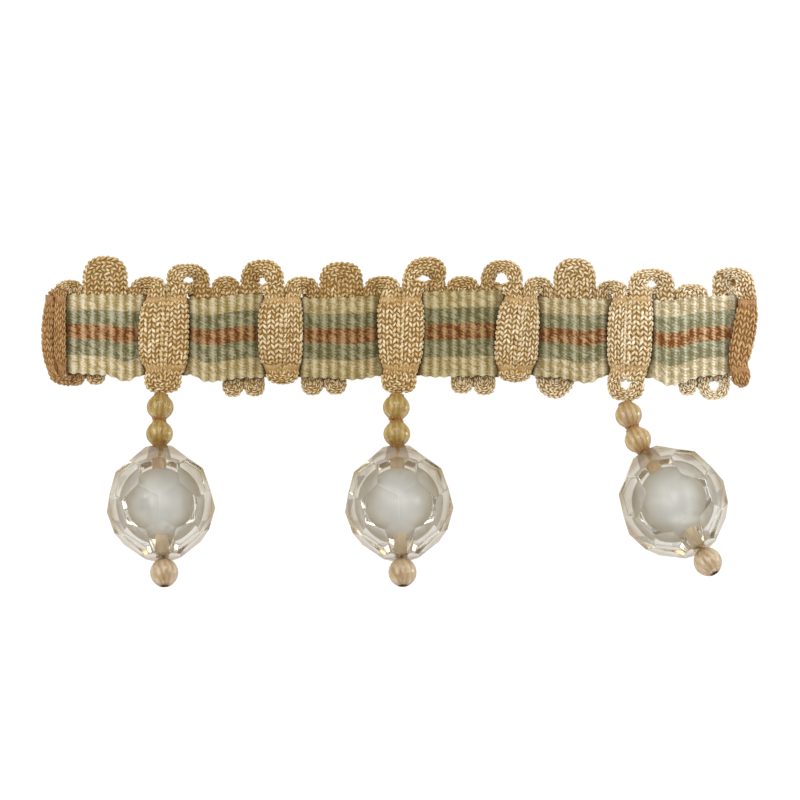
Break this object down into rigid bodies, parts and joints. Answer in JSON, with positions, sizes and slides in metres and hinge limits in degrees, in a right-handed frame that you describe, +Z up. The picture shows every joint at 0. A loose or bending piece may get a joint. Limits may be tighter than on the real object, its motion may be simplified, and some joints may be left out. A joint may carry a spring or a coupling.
{
  "type": "straight length of beaded drop trim",
  "caption": "Straight length of trim: a striped ribbon threaded through a snaked knitted cord, with drops of fluted amber beads and clear faceted beads.",
  "frame": {"origin": "middle of the trim's outline, on the surface that it lies on", "axes": "+X along the heading, +Y from the drops towards the heading's upper loops, +Z up from the surface, out of the trim's face"},
  "size_m": [0.1326, 0.0612, 0.0193],
  "materials": {
    "ribbon_cloth": "ribbed weave with cream, sage and rust stripes",
    "gimp_cord": "shiny knitted viscose, gold",
    "sealed_cord": "knitted cord browned and glazed by sealing glue",
    "sewing_thread": "twisted thread",
    "amber_bead": "translucent fluted amber",
    "end_bead": "translucent fluted tan",
    "clear_acrylic": "clear faceted, faint champagne tint",
    "pearl": "pearl white"
  },
  "bodies": {
    "root": {"thread_1": "sewing_thread", "bead_upper_1": "amber_bead", "bead_lower_1": "amber_bead", "crystal_1": "clear_acrylic", "pearl_1": "pearl", "bead_end_1": "end_bead", "thread_2": "sewing_thread", "bead_upper_2": "amber_bead", "bead_lower_2": "amber_bead", "crystal_2": "clear_acrylic", "pearl_2": "pearl", "bead_end_2": "end_bead", "thread_3": "sewing_thread", "bead_upper_3": "amber_bead", "bead_lower_3": "amber_bead", "crystal_3": "clear_acrylic", "pearl_3": "pearl", "bead_end_3": "end_bead", "ribbon": "ribbon_cloth", "gimp": "gimp_cord", "sealed_end_left": "sealed_cord", "sealed_end_right": "sealed_cord"}
  },
  "joints": []
}
